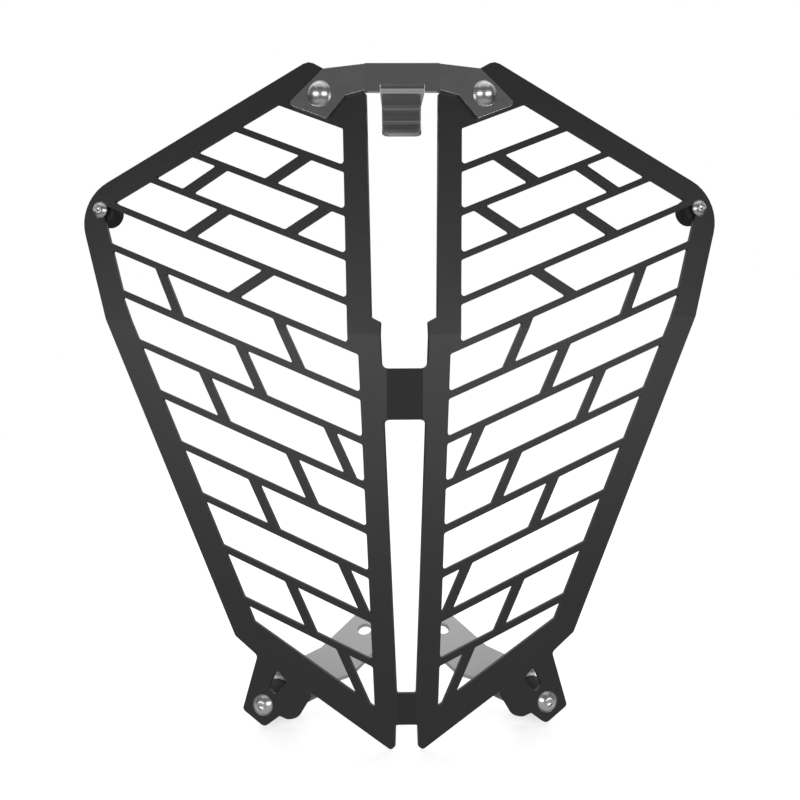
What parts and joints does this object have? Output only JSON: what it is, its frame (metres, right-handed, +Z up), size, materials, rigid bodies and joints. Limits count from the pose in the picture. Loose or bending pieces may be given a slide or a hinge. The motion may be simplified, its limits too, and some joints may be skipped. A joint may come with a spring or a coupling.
{
  "type": "motorcycle headlight guard",
  "caption": "Folded V-shaped headlight guard of laser-cut sheet with a brick-pattern grille, a top hook bracket, side rubber buffers and two lower mounting strips.",
  "frame": {"origin": "Middle of the guard's box, on its centre plane", "axes": "+Z up as fitted to the motorcycle, +Y to the back, towards the headlight, +X to the viewer's right from the front"},
  "size_m": [0.2916, 0.1076, 0.2864],
  "materials": {
    "powder_coat": "satin black powder coat with a fine texture",
    "polished_steel": "polished stainless sheet",
    "stainless": "bright stainless",
    "black_rubber": "matt black rubber",
    "strip_aluminium": "plain matt aluminium"
  },
  "bodies": {
    "root": {"guard_sheet": "powder_coat", "top_bracket": "polished_steel", "bracket_bolt_left": "stainless", "bracket_bolt_right": "stainless", "bracket_washer_left": "stainless", "bracket_washer_right": "stainless", "bracket_nut_left": "stainless", "bracket_nut_right": "stainless", "side_screw_left": "stainless", "side_screw_right": "stainless", "side_buffer_left": "black_rubber", "side_buffer_right": "black_rubber", "ear_bolt_left": "stainless", "ear_bolt_right": "stainless", "ear_spacer_left": "black_rubber", "ear_spacer_right": "black_rubber", "ear_strip_left": "strip_aluminium", "ear_strip_right": "strip_aluminium", "ear_washer_left": "stainless", "ear_washer_right": "stainless", "ear_nut_left": "stainless", "ear_nut_right": "stainless"}
  },
  "joints": []
}
